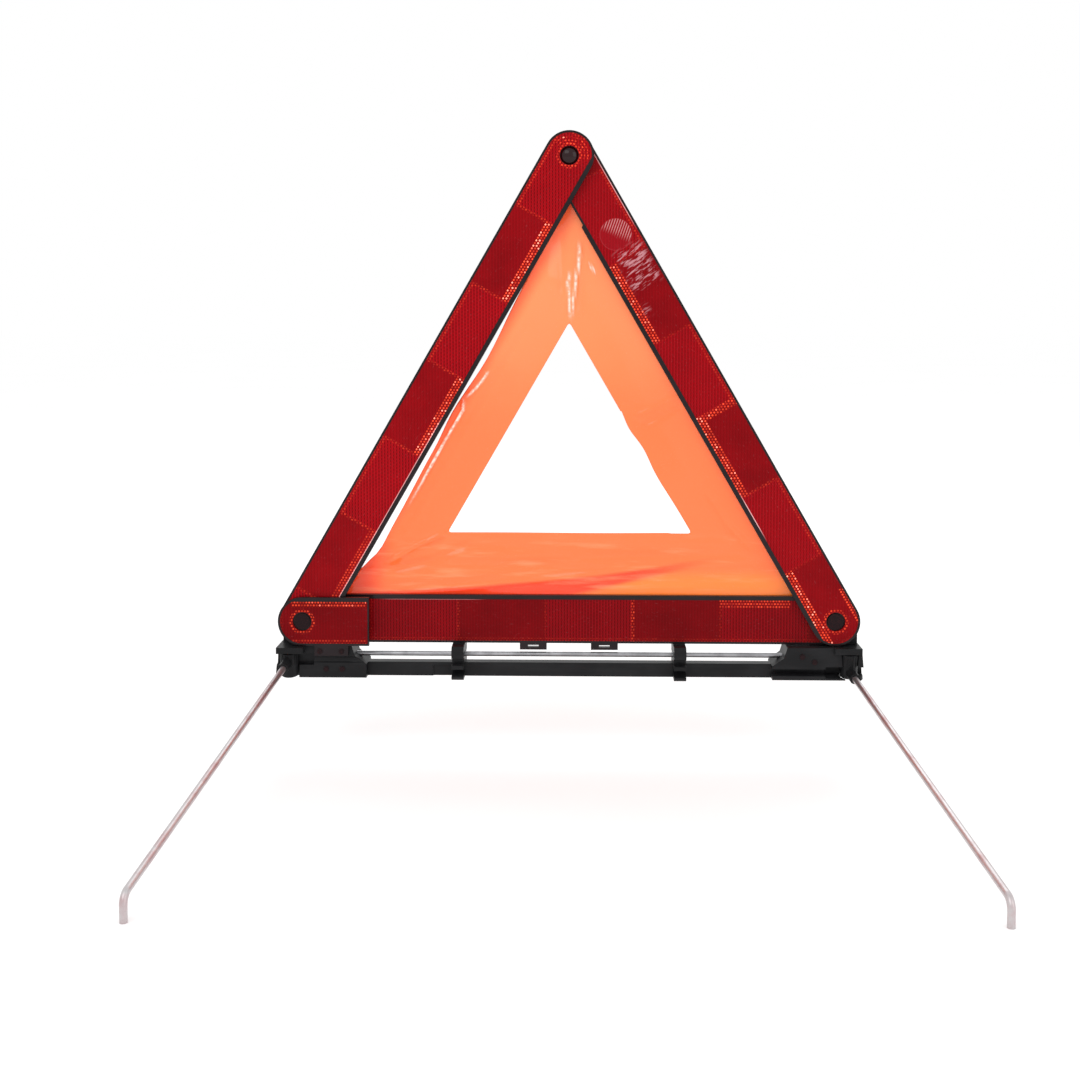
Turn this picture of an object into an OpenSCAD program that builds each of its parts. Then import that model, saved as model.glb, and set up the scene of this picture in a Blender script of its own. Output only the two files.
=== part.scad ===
// Folding warning triangle: three flat reflector arms on a black base with four wire legs.
// Front is -Y, +X is to the right, +Z is up, and the feet stand on Z = 0.

/* [Triangle] */
// Distance between the two pivots of one side
pivot_gap = 394; // [380:1:400]
// Width of each arm
arm_w = 36; // [34:0.5:38]
// Thickness of each arm
arm_t = 4.4; // [4.2:0.1:4.8]
// Gap left between two arms that fold past each other
layer_gap = 0.4; // [0.3:0.1:0.6]
// Height of the two lower pivots above the ground
pivot_z = 102; // [102:0.5:104]

/* [Lenses] */
// Rim of the carrier on the outer side of the triangle
rim_out = 1.6; // [1.2:0.1:2.4]
// Rim of the carrier on the inner side of the triangle
rim_in = 3.2; // [2.4:0.1:4]
// Depth of the pocket that holds the lens
lens_t = 2.2; // [1.8:0.1:2.4]
// Radius of the round hole in each end of a lens
lens_hole_r = 7; // [6.5:0.1:8]

/* [Film] */
// Distance from the triangle's centre to each outer edge of the film
film_out = 104.7; // [100:0.1:106]
// Distance from the hole's centre to each edge of the hole
film_in = 51.6; // [40:0.2:60]
// How far the hole's centre lies above the triangle's centre
film_hole_up = 2.7; // [0:0.1:5]
// How far the film's free left edge curves inwards
film_bow = 14; // [0:0.5:18]
// Thickness of the film
film_t = 0.4; // [0.3:0.1:0.6]

/* [Base] */
// Height of the base's underside above the ground
base_z = 59.5; // [58:0.5:60]
// Height of the lower bar
bar_h = 10.3; // [9:0.1:11]
// Depth of the lower bar, front to back
bar_d = 9; // [7:0.5:9]
// Depth of the two end housings
housing_d = 24.4; // [22:0.2:24.4]
// Where the end housings begin, out from the middle
housing_x = 161; // [150:1:165]
// Half of the base's whole length
base_half = 217.5; // [217:0.5:220]
// Distance of each rib from the middle
rib_x = 82; // [78:1:84]

/* [Legs] */
// Diameter of the leg wire
wire_d = 4.5; // [4:0.1:4.5]
// Length of a leg from its hinge to the bend at the foot
leg_len = 300; // [299:1:310]
// Length of the upright foot
foot_len = 15; // [12:0.5:16]
// How far a leg swings from standing to stowed
leg_swing = 96; // [94:1:100]
// Distance of each leg hinge from the middle
hinge_x = 207; // [206:0.5:208]

/* [Hidden] */
$fn = 48;

BLACK = "#1d1d1f";
RED = "#8b0a12";
ORANGE = "#ff6a33";
STEEL = "#a9a5a3";

// Arms: one flat layer each, the bottom arm at the back and the left arm at the front
arm_r = arm_w / 2;
pitch = arm_t + layer_gap;
half_gap = pivot_gap / 2;
apex_z = pivot_z + pivot_gap * sqrt(3) / 2;
centre_z = pivot_z + pivot_gap * sqrt(3) / 6;
ARM_PIVOTS = [[-half_gap, pivot_z], [half_gap, pivot_z], [0, apex_z]];
arm_back = arm_t / 2;
lens_back = lens_t - arm_t / 2;
lens_sunk = 0.2;
rim_cut = 1.6;
RIM_CUT_SPAN = [344, 372];

// Snap hooks under the bottom arm
hook_x = 26.5;
hook_w = 20;
hook_drop = 5;
hook_slot_w = 8;
hook_slot_h = 1.5;

// The fixed cover that stands in front of the left arm at the left corner
cover_len = 49.5;
cover_t = 3;
cover_lens_t = 1.8;
cover_back = -(2 * pitch + arm_t / 2 + layer_gap);
cover_front = cover_back - cover_t;
cover_floor = cover_front + cover_lens_t;
cover_foot_z = 76.5;
cover_foot_x = 9;
cover_foot_w = 25;
COVER_SCREWS = [13, 29];
cover_screw_z = cover_foot_z - pivot_z + 3.4;

// Film and its rivets, placed by their distance along each arm
film_y = arm_back + 0.2;
film_corner_r = 12;
film_hole_corner_r = 3;
film_rivet_v = 12.5;
film_rivet_r = 3;
film_rivet_t = 0.9;
film_shank_r = 1.5;
BOTTOM_FILM_RIVETS = [-120, 0, 120];
RIGHT_FILM_RIVETS = [70, 190, 340];
LEFT_FILM_RIVETS = [45, 335];

// Pins, rivets and the latch at the apex
pin_r = 3;
rivet_r = 2.5;
rivet_tail_r = 4;
head_r = 6;
head_t = 1.2;
turn_gap = 0.05;
stud_out = 1.2;
groove_r = 4.4;
groove_t = 1.3;
apex_groove_turn = -59;
corner_groove_turn = -92.5;
dome_r = 9;
dome_out = 0.8;

// Base
bar_top = base_z + bar_h;
base_top = pivot_z - arm_r - 0.4;
ear_t = 4;
ear_back = arm_back + ear_t;
ear_r = arm_r - 0.4;
rib_w = 9;
rib_d = 33;
rod_r = 1.8;
rod_z = 75.2;
rod_half = housing_x + 4;
rib_edge = 1.5;
rib_top_edge = 2.5;
housing_end_in = 11;
housing_corner = 2.5;
lug_len = 20;
lug_t = 4.6;
screw_r = 2;
screw_shank_r = 1.2;
screw_len = 4;
HOUSING_SCREWS = [[-180, 66], [-168, 66], [181, 73], [172, 77]];
FOOT_RELIEF = [14, 8, 9];
foot_relief_x = -101;

// Legs: the left pair stows above and outside the right pair
wire_r = wire_d / 2;
function wire_z(side) = side < 0 ? 73 : 66;
function wire_y(side) = side < 0 ? 13.4 : 7;
function tilt(side) = asin((wire_z(side) - foot_len) / (leg_len * sin(leg_swing)));
knuckle_r = 6.2;
knuckle_low = 61.5;
knuckle_high = 79.2;
sleeve_r = 3.9;
sleeve_len = 16;
rib_out = 0.5;
play = 0.35;
hinge_r = 1.5;
bend_r = 7;
merge = 0.4;
bend_swell = 0.03;
wire_start = 3.4;
channel_len = 315;
channel_room = 30;
RIB_TURNS = [-84:24:84];
pin_head_r = 2.8;

// ---- helpers ----

// Extrudes a drawing of the X-Z plane from depth y0 back to depth y1
module slab(y0, y1) {
    translate([0, y1, 0]) rotate([90, 0, 0]) linear_extrude(y1 - y0) children();
}

// A round bar along Y from depth y0 back to depth y1, at x and z
module bar_y(x, z, r, y0, y1) {
    translate([x, y1, z]) rotate([90, 0, 0]) cylinder(r = r, h = y1 - y0);
}

// Arm 0 is the bottom, 1 the right, 2 the left: each starts at the pivot where it laps in front
module place_arm(n) {
    translate([ARM_PIVOTS[n][0], -n * pitch, ARM_PIVOTS[n][1]]) rotate([0, -120 * n, 0]) children();
}

// A strip with round ends between two pivots
module stadium(r) {
    for (x = [0, pivot_gap]) translate([x, 0]) circle(r);
    translate([0, -r]) square([pivot_gap, 2 * r]);
}

module lens_outline() {
    intersection() {
        stadium(arm_r - rim_out);
        translate([-arm_w, -arm_w]) square([pivot_gap + 2 * arm_w, arm_w + arm_r - rim_in]);
    }
}

// A triangle with rounded corners around the origin, inner_r from its centre to each edge
module round_triangle(inner_r, corner_r) {
    reach = 2 * (inner_r - corner_r);
    polygon([for (a = [90, 210, 330], s = [-60:10:60])
        reach * [cos(a), sin(a)] + corner_r * [cos(a + s), sin(a + s)]]);
}

// ---- arms and lenses ----

module carrier() {
    difference() {
        slab(-arm_back, arm_back) stadium(arm_r);
        slab(-arm_back - 1, lens_back) lens_outline();
    }
}

module lens() {
    color(RED) slab(lens_sunk - arm_back, lens_back) difference() {
        lens_outline();
        for (x = [0, pivot_gap]) translate([x, 0]) circle(lens_hole_r);
    }
}

// The way that the apex stud takes across the back of the left arm
module stud_groove(x, angle) {
    translate([x, 0, 0]) rotate([0, -angle, 0]) {
        bar_y(0, 0, groove_r, arm_back - groove_t, arm_back + 1);
        translate([0, arm_back - groove_t, -groove_r]) cube([2 * arm_r, groove_t + 1, 2 * groove_r]);
    }
}

// Flush rivets that hold the film along the inner edge of an arm's back
module film_rivets(places) {
    for (x = places) bar_y(x, film_rivet_v, film_rivet_r, arm_back - film_rivet_t, arm_back);
}

module bottom_arm() {
    color(BLACK) place_arm(0) difference() {
        union() {
            carrier();
            for (s = [-1, 1]) snap_hook(half_gap + s * hook_x);
        }
        bar_y(pivot_gap, 0, pin_r, -arm_back, arm_back + 1);
        bar_y(0, 0, rivet_r, -arm_back, arm_back + 1);
        for (x = BOTTOM_FILM_RIVETS)
            bar_y(half_gap + x, film_rivet_v, film_shank_r, arm_back - 1.2, arm_back + 1);
    }
}

// A small hook under the bottom arm, with a slot through it
module snap_hook(x) {
    slab(-arm_back, arm_back) difference() {
        translate([x - hook_w / 2, -arm_r - hook_drop]) square([hook_w, hook_drop + 1]);
        translate([x - hook_slot_w / 2, -arm_r - 3]) square([hook_slot_w, hook_slot_h]);
    }
}

module bottom_lens() { place_arm(0) lens(); }

module bottom_arm_rivet() {
    color(STEEL) place_arm(0) {
        bar_y(0, 0, head_r - 1, lens_back - 1, lens_back);
        bar_y(0, 0, rivet_r, lens_back, ear_back);
        bar_y(0, 0, rivet_tail_r, ear_back, ear_back + 1);
    }
}

module right_arm() {
    color(BLACK) place_arm(1) difference() {
        carrier();
        bar_y(0, 0, pin_r + turn_gap, -arm_back, arm_back + 1);
        bar_y(pivot_gap, 0, 2, -arm_back, arm_back + 1);
        film_rivets(RIGHT_FILM_RIVETS);
        // The inner rim is cut back where the left arm's edge crosses it
        slab(-arm_back - 1, arm_back + 1) polygon([
            [RIM_CUT_SPAN[0], arm_r + 1], [RIM_CUT_SPAN[0] + 2, arm_r - rim_cut],
            [RIM_CUT_SPAN[1], arm_r - rim_cut], [RIM_CUT_SPAN[1], arm_r + 1]]);
    }
}

module right_lens() { place_arm(1) lens(); }

module right_pivot_pin() {
    color(BLACK) place_arm(1) {
        bar_y(0, 0, head_r, lens_back - head_t, lens_back);
        bar_y(0, 0, pin_r, lens_back, pitch + ear_back + 1.6);
    }
}

module right_pivot_washer() {
    color(STEEL) place_arm(0) difference() {
        bar_y(pivot_gap, 0, head_r, ear_back, ear_back + 1);
        bar_y(pivot_gap, 0, pin_r, ear_back - 1, ear_back + 2);
    }
}

module apex_stud() {
    color(BLACK) place_arm(1) {
        bar_y(pivot_gap, 0, pin_r, -arm_back - stud_out, lens_back - 1);
        bar_y(pivot_gap, 0, head_r, lens_back - 1, lens_back);
        bar_y(pivot_gap, 0, 2, lens_back, arm_back);
    }
}

module left_arm() {
    color(BLACK) place_arm(2) difference() {
        union() {
            carrier();
            bar_y(pivot_gap, 0, lens_hole_r, lens_sunk - arm_back, lens_back);
        }
        bar_y(pivot_gap, 0, rivet_r + turn_gap, -arm_back - 1, arm_back);
        bar_y(pivot_gap, 0, rivet_tail_r + 0.2, lens_back, arm_back + 1);
        stud_groove(0, apex_groove_turn);
        stud_groove(pivot_gap, corner_groove_turn);
        film_rivets(LEFT_FILM_RIVETS);
    }
}

module left_lens() { place_arm(2) lens(); }

// Glossy domed button in the lens hole at the apex
module apex_button() {
    color(BLACK) place_arm(2) intersection() {
        bar_y(0, 0, head_r + 0.6, -arm_back - dome_out, lens_back);
        translate([0, dome_r - arm_back - dome_out, 0]) sphere(r = dome_r, $fn = 64);
    }
}

module left_pivot_rivet() {
    color(BLACK) place_arm(0) {
        bar_y(0, 0, head_r, cover_floor - 1, cover_floor);
        bar_y(0, 0, rivet_r, cover_floor, lens_back - 2 * pitch);
        bar_y(0, 0, rivet_tail_r, lens_back - 2 * pitch, lens_back - 2 * pitch + 0.7);
    }
}

// ---- left corner cover ----

module cover_cut() { translate([-arm_w, -arm_w]) square([arm_w + cover_len, 2 * arm_w]); }

module left_corner_cover() {
    color(BLACK) place_arm(0) difference() {
        slab(cover_front, cover_back) {
            intersection() { stadium(arm_r); cover_cut(); }
            translate([cover_foot_x, cover_foot_z - pivot_z])
                square([cover_foot_w, pivot_z - arm_r - cover_foot_z + 1]);
        }
        slab(cover_front - 1, cover_floor) intersection() {
            lens_outline();
            translate([-1, 0]) cover_cut();
        }
        bar_y(0, 0, rivet_r, cover_front, cover_back + 1);
        for (x = COVER_SCREWS) bar_y(x, cover_screw_z, screw_shank_r, cover_front - 1, cover_back + 1);
    }
}

module left_corner_lens() {
    color(RED) place_arm(0) slab(cover_front + lens_sunk, cover_floor) difference() {
        intersection() { lens_outline(); translate([-1, 0]) cover_cut(); }
        circle(lens_hole_r);
    }
}

module cover_screws() {
    color(STEEL) place_arm(0) for (x = COVER_SCREWS) {
        bar_y(x, cover_screw_z, screw_shank_r, cover_front, cover_back + screw_len + 1);
        bar_y(x, cover_screw_z, screw_r, cover_front - 0.6, cover_front);
    }
}

// ---- film ----

// The film's outline: straight along the bottom and the right, bowed inwards along its free left edge
module film_outline() {
    reach = 2 * (film_out - film_corner_r);
    left_end = reach * [cos(210), sin(210)] + film_corner_r * [cos(150), sin(150)];
    side = 2 * sqrt(3) * (film_out - film_corner_r);
    polygon([
        for (a = [330, 90], s = [-60:10:60]) reach * [cos(a), sin(a)] + film_corner_r * [cos(a + s), sin(a + s)],
        for (t = [0.05:0.05:0.951]) left_end + side * (1 - t) * [cos(60), sin(60)]
            + 4 * film_bow * t * (1 - t) * [cos(330), sin(330)],
        for (s = [-60:10:60]) reach * [cos(210), sin(210)] + film_corner_r * [cos(210 + s), sin(210 + s)]
    ]);
}

module film() {
    color(ORANGE) difference() {
        translate([0, 0, centre_z]) slab(film_y, film_y + film_t) difference() {
            film_outline();
            translate([0, film_hole_up]) round_triangle(film_in, film_hole_corner_r);
        }
        for (x = BOTTOM_FILM_RIVETS) bar_y(x, pivot_z + film_rivet_v, film_shank_r, film_y - 1, film_y + 2);
    }
}

module film_rivets_bottom() {
    color(BLACK) for (x = BOTTOM_FILM_RIVETS) {
        bar_y(x, pivot_z + film_rivet_v, film_shank_r, arm_back - 1.2, film_y + film_t);
        bar_y(x, pivot_z + film_rivet_v, film_rivet_r, film_y + film_t, film_y + film_t + 0.8);
    }
}

module film_rivets_right() { color(BLACK) place_arm(1) film_rivets(RIGHT_FILM_RIVETS); }

module film_rivets_left() { color(BLACK) place_arm(2) film_rivets(LEFT_FILM_RIVETS); }

// ---- base ----

// Stands at a leg's hinge: X runs along the stowed leg and Z along the hinge axis
module at_hinge(side, end) {
    translate([side * hinge_x, end * wire_y(side), wire_z(side)])
        mirror([side > 0 ? 1 : 0, 0, 0]) mirror([0, end > 0 ? 1 : 0, 0])
            rotate([tilt(side), 0, 0]) children();
}

// How far along the hinge axis a height lies
function on_axis(side, z) = (z - wire_z(side)) / cos(tilt(side));

// Room for one leg: its knuckle, its sleeve's swing, and the stowed wire's channel
module leg_room(side, end) {
    at_hinge(side, end) {
        translate([0, 0, -channel_room])
            cylinder(r = knuckle_r + rib_out + play, h = channel_room + on_axis(side, knuckle_high) + 0.15);
        translate([-20, -channel_room, -sleeve_r - play])
            cube([20 + sleeve_len + 2, channel_room + sleeve_r + play, 2 * (sleeve_r + play)]);
        rotate([0, 90, 0]) cylinder(r = wire_r + play, h = channel_len);
        translate([0, -channel_room, -wire_r - play]) cube([channel_len, channel_room, wire_d + 2 * play]);
    }
}

module end_housing(side) {
    mirror([side > 0 ? 0 : 1, 0, 0]) {
        slab(-housing_d / 2, housing_d / 2) polygon([[housing_x, base_top], [base_half - 2, base_top],
            [base_half, base_z + housing_corner], [base_half - housing_corner, base_z],
            [housing_x - housing_end_in, base_z], [housing_x - housing_end_in, bar_top],
            [housing_x - housing_corner, bar_top + 6]]);
        lug_y = wire_y(side) + 7.6;
        translate([base_half - lug_len - 2, -lug_y, base_top - lug_t]) cube([lug_len, 2 * lug_y, lug_t]);
        slab(arm_back, ear_back) {
            translate([half_gap, pivot_z]) circle(ear_r);
            translate([half_gap - ear_r, base_top - 4]) square([2 * ear_r, pivot_z - base_top + 4]);
        }
    }
}

// A rib across the bar: the stowed legs lie in its notches
module rib(x) {
    translate([x - rib_w / 2, 0, 0]) rotate([90, 0, 90]) linear_extrude(rib_w) {
        polygon([[-rib_d / 2 + rib_edge, base_z - 0.5], [rib_d / 2 - rib_edge, base_z - 0.5],
            [rib_d / 2, base_z + rib_edge - 0.5], [rib_d / 2, base_top - rib_top_edge - 0.5],
            [rib_d / 2 - rib_top_edge, base_top], [-rib_d / 2 + rib_top_edge, base_top],
            [-rib_d / 2, base_top - rib_top_edge - 0.5], [-rib_d / 2, base_z + rib_edge - 0.5]]);
        translate([-arm_back, base_top - 1]) square([arm_t, 1.4]);
    }
}

module base_frame() {
    color(BLACK) difference() {
        union() {
            translate([-housing_x, -bar_d / 2, base_z]) cube([2 * housing_x, bar_d, bar_h]);
            for (s = [-1, 1]) {
                end_housing(s);
                rib(s * rib_x);
            }
        }
        for (side = [-1, 1], end = [-1, 1]) {
            leg_room(side, end);
            at_hinge(side, end) cylinder(r = hinge_r, h = on_axis(side, knuckle_high) + 2.2);
        }
        // Room for the bent feet of the stowed right legs
        for (end = [-1, 1])
            translate([foot_relief_x, end > 0 ? 3.2 : -3.2 - FOOT_RELIEF[1], base_z - 1]) cube(FOOT_RELIEF);
        translate([-rod_half, 0, rod_z]) rotate([0, 90, 0]) cylinder(r = rod_r, h = 2 * rod_half);
        bar_y(half_gap, pivot_z, pin_r, 0, ear_back + 1);
        bar_y(-half_gap, pivot_z, rivet_r, 0, ear_back + 1);
        for (x = COVER_SCREWS)
            bar_y(x - half_gap, cover_screw_z + pivot_z, screw_shank_r, cover_back - 1, cover_back + screw_len + 1);
        for (p = HOUSING_SCREWS)
            bar_y(p[0], p[1], screw_shank_r, -housing_d / 2 - 1, -housing_d / 2 + screw_len);
    }
}

module stiffener_rod() {
    color(STEEL) translate([-rod_half, 0, rod_z]) rotate([0, 90, 0]) cylinder(r = rod_r, h = 2 * rod_half);
}

module housing_screws() {
    color(STEEL) for (p = HOUSING_SCREWS) {
        bar_y(p[0], p[1], screw_shank_r, -housing_d / 2, -housing_d / 2 + screw_len);
        bar_y(p[0], p[1], screw_r, -housing_d / 2 - 0.7, -housing_d / 2);
    }
}

// ---- legs ----

// A leg stands swung out from its stowed place, so X runs along the standing wire here
module at_leg(side, end) { at_hinge(side, end) rotate([0, 0, -leg_swing]) children(); }

module leg(side, end) {
    t = tilt(side);
    off = leg_swing - 90;
    bend = acos(sin(t) * cos(off));
    lean = atan2(sin(t) * sin(off), cos(t));
    cut = bend_r * tan(bend / 2);
    color(STEEL) at_leg(side, end) rotate([lean, 0, 0]) {
        translate([wire_start, 0, 0]) rotate([0, 90, 0])
            cylinder(r = wire_r, h = leg_len - cut - wire_start + merge);
        translate([leg_len - cut, 0, -bend_r]) {
            rotate([90, 0, 0]) rotate([0, 0, 90 - bend]) rotate_extrude(angle = bend)
                translate([bend_r, 0]) circle(wire_r + bend_swell);
            translate([bend_r * sin(bend), 0, bend_r * cos(bend)]) rotate([0, 90 + bend, 0])
                translate([0, 0, -merge]) cylinder(r = wire_r, h = foot_len - cut + merge);
        }
    }
}

module knuckle(side, end) {
    low = on_axis(side, knuckle_low);
    high = on_axis(side, knuckle_high);
    grip_low = on_axis(side, 70.5);
    color(BLACK) at_leg(side, end) difference() {
        union() {
            translate([0, 0, low]) cylinder(r = knuckle_r, h = high - low);
            rotate([0, 90, 0]) cylinder(r = sleeve_r, h = sleeve_len);
            for (a = RIB_TURNS) rotate([0, 0, a]) translate([knuckle_r - 1, -0.5, grip_low])
                cube([1 + rib_out - 0.05, 1, high - grip_low - 0.6]);
        }
        translate([0, 0, low - 1]) cylinder(r = hinge_r + turn_gap, h = high - low + 2);
        translate([wire_start, 0, 0]) rotate([0, 90, 0]) cylinder(r = wire_r, h = sleeve_len);
    }
}

module hinge_pin(side, end) {
    low = on_axis(side, knuckle_low) - 0.1;
    color(STEEL) at_hinge(side, end) {
        translate([0, 0, low]) cylinder(r = hinge_r, h = on_axis(side, knuckle_high) + 2.2 - low);
        translate([0, 0, low - 1.2]) cylinder(r = pin_head_r, h = 1.2);
    }
}

base_frame();
stiffener_rod();
housing_screws();
bottom_arm();
bottom_lens();
bottom_arm_rivet();
left_corner_cover();
left_corner_lens();
cover_screws();
left_arm();
left_lens();
apex_button();
left_pivot_rivet();
right_arm();
right_lens();
apex_stud();
right_pivot_pin();
right_pivot_washer();
film();
film_rivets_bottom();
film_rivets_left();
film_rivets_right();
leg(-1, -1);  // front_left_leg
leg(1, -1);  // front_right_leg
leg(-1, 1);  // rear_left_leg
leg(1, 1);  // rear_right_leg
knuckle(-1, -1);  // front_left_knuckle
knuckle(1, -1);  // front_right_knuckle
knuckle(-1, 1);  // rear_left_knuckle
knuckle(1, 1);  // rear_right_knuckle
hinge_pin(-1, -1);  // front_left_pin
hinge_pin(1, -1);  // front_right_pin
hinge_pin(-1, 1);  // rear_left_pin
hinge_pin(1, 1);  // rear_right_pin
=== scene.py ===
import math

import bmesh
import bpy
from bpy.props import FloatProperty, FloatVectorProperty, PointerProperty
from bpy.types import Operator, Panel, PropertyGroup
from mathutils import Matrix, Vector


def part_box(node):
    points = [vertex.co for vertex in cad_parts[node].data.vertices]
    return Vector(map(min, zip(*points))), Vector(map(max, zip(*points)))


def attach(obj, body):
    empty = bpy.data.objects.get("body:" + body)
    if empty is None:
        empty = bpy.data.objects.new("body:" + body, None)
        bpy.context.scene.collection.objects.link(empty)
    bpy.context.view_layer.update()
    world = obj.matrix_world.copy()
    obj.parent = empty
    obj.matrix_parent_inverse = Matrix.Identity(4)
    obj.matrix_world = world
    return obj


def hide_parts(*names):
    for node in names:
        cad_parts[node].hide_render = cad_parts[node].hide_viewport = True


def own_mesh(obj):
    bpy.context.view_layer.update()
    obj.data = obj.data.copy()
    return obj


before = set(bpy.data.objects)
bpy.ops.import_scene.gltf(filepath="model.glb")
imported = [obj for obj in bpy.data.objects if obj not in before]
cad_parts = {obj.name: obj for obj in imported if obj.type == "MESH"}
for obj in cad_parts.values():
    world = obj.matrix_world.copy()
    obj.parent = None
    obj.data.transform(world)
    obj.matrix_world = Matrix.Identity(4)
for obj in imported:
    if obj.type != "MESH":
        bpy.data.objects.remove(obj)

bl_info = {
    "name": "Folding warning triangle",
    "version": (1, 0, 0),
    "blender": (4, 5, 0),
    "location": "View3D > Sidebar > Warning triangle",
    "description": "Finishes, film and studio for a folding warning triangle",
    "category": "Object",
}

MM = 0.001
SIN_60 = math.sin(math.radians(60))
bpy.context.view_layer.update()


def middle_of(node):
    """The middle of a CAD node's box at rest."""
    low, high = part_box(node)
    return Vector([(a + b) / 2 for a, b in zip(low, high)])


LEFT_PIVOT = middle_of("left_pivot_rivet")
RIGHT_PIVOT = middle_of("right_pivot_pin")
APEX_PIVOT = middle_of("apex_button")
CENTRE_Z = (LEFT_PIVOT.z + RIGHT_PIVOT.z + APEX_PIVOT.z) / 3


# ---- what a user can change ----

class LensSettings(PropertyGroup):
    """The prism lenses"""
    panel_length: FloatProperty(
        name="Panel length", description="Length of one moulded panel of a lens",
        default=0.065, min=0.03, max=0.12, unit="LENGTH")
    prism_pitch: FloatProperty(
        name="Prism pitch", description="Distance between two prisms of a lens",
        default=0.0022, min=0.001, max=0.005, unit="LENGTH")
    red: FloatVectorProperty(
        name="Lens red", description="Colour of the bright ribbed panels", subtype="COLOR",
        default=(0.400, 0.003, 0.0070), min=0, max=1)
    deep_red: FloatVectorProperty(
        name="Deep lens red", description="Colour of the smooth panels", subtype="COLOR",
        default=(0.210, 0.0018, 0.0040), min=0, max=1)
    spark: FloatVectorProperty(
        name="Prism spark", description="Colour of the prisms that send light back", subtype="COLOR",
        default=(1.0, 0.085, 0.03), min=0, max=1)


class PlasticSettings(PropertyGroup):
    """The moulded plastics"""
    black: FloatVectorProperty(
        name="Moulded black", description="Colour of the base and its legs' knuckles", subtype="COLOR",
        default=(0.0085, 0.0085, 0.0092), min=0, max=1)
    arm_black: FloatVectorProperty(
        name="Arm black", description="Colour of the glossier arm carriers", subtype="COLOR",
        default=(0.0085, 0.0045, 0.0055), min=0, max=1)
    edge_round: FloatProperty(
        name="Edge rounding", description="Radius that light finds on the moulded edges",
        default=0.0004, min=0.0, max=0.002, unit="LENGTH")


class MetalSettings(PropertyGroup):
    """The wire and the plated steel"""
    wire: FloatVectorProperty(
        name="Leg wire", description="Colour of the drawn wire", subtype="COLOR",
        default=(0.56, 0.53, 0.535), min=0, max=1)
    bright: FloatVectorProperty(
        name="Bright steel", description="Colour of the plated rod, hinge pins, washer and rivet", subtype="COLOR",
        default=(0.36, 0.36, 0.375), min=0, max=1)


class FilmSettings(PropertyGroup):
    """The film"""
    orange: FloatVectorProperty(
        name="Film orange", description="Colour of the film over most of its area", subtype="COLOR",
        default=(1.0, 0.165, 0.042), min=0, max=1)
    salmon: FloatVectorProperty(
        name="Film salmon", description="Lighter colour towards the top of the film", subtype="COLOR",
        default=(1.0, 0.235, 0.078), min=0, max=1)
    scarlet: FloatVectorProperty(
        name="Film scarlet", description="Redder colour along the left and in the lower left corner",
        subtype="COLOR",
        default=(1.0, 0.055, 0.016), min=0, max=1)
    crease: FloatProperty(
        name="Crease height", description="Scale of the film's creases",
        default=1.5, min=0.0, max=2.0)
    gauge: FloatProperty(
        name="Film gauge", description="Thickness of the film",
        default=0.00025, min=0.0001, max=0.0005, unit="LENGTH")


class StageSettings(PropertyGroup):
    """The floor, the light and the camera"""
    floor: FloatVectorProperty(
        name="Floor", description="Colour of the plain floor", subtype="COLOR",
        default=(0.86, 0.86, 0.86), min=0, max=1)
    key_power: FloatProperty(
        name="Key light", description="Power of the large softbox above and in front", default=11.0, min=0, max=200)
    eye: FloatVectorProperty(
        name="Camera place", description="Where the camera stands", subtype="TRANSLATION", unit="LENGTH",
        default=(0.0056, -1.0461, 0.3246))
    lens: FloatProperty(
        name="Focal length", description="Focal length of the camera", default=47.27, min=20, max=120)


# ---- how a finish is written ----

class Wire:
    """One output of a node. Arithmetic on it adds the Math nodes."""

    def __init__(self, finish, socket):
        self.finish, self.socket = finish, socket

    def maths(self, kind, *values):
        return self.finish.add("ShaderNodeMath", {"operation": kind}, dict(enumerate(values)))

    def __add__(self, other):
        return self.maths("ADD", self, other)

    def __sub__(self, other):
        return self.maths("SUBTRACT", self, other)

    def __rsub__(self, other):
        return self.maths("SUBTRACT", other, self)

    def __mul__(self, other):
        return self.maths("MULTIPLY", self, other)

    def __truediv__(self, other):
        return self.maths("DIVIDE", self, other)

    def __pow__(self, other):
        return self.maths("POWER", self, other)

    __radd__ = __add__
    __rmul__ = __mul__

    def whole(self):
        return self.maths("FLOOR", self)

    def rest(self):
        return self.maths("FRACT", self)

    def size(self):
        return self.maths("ABSOLUTE", self)

    def larger(self, other):
        return self.maths("MAXIMUM", self, other)

    def rise(self, low, high):
        """0 below low and 1 above high, or the other way round where low is the larger."""
        return self.finish.add(
            "ShaderNodeMapRange", {"interpolation_type": "SMOOTHSTEP"},
            {"Value": self, "From Min": low, "From Max": high, "To Min": 0.0, "To Max": 1.0})

    def within(self, low, high, soft=0.25):
        """1 from low to high, with soft sides."""
        return self.rise(low - soft, low + soft) * self.rise(high + soft, high - soft)


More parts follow.
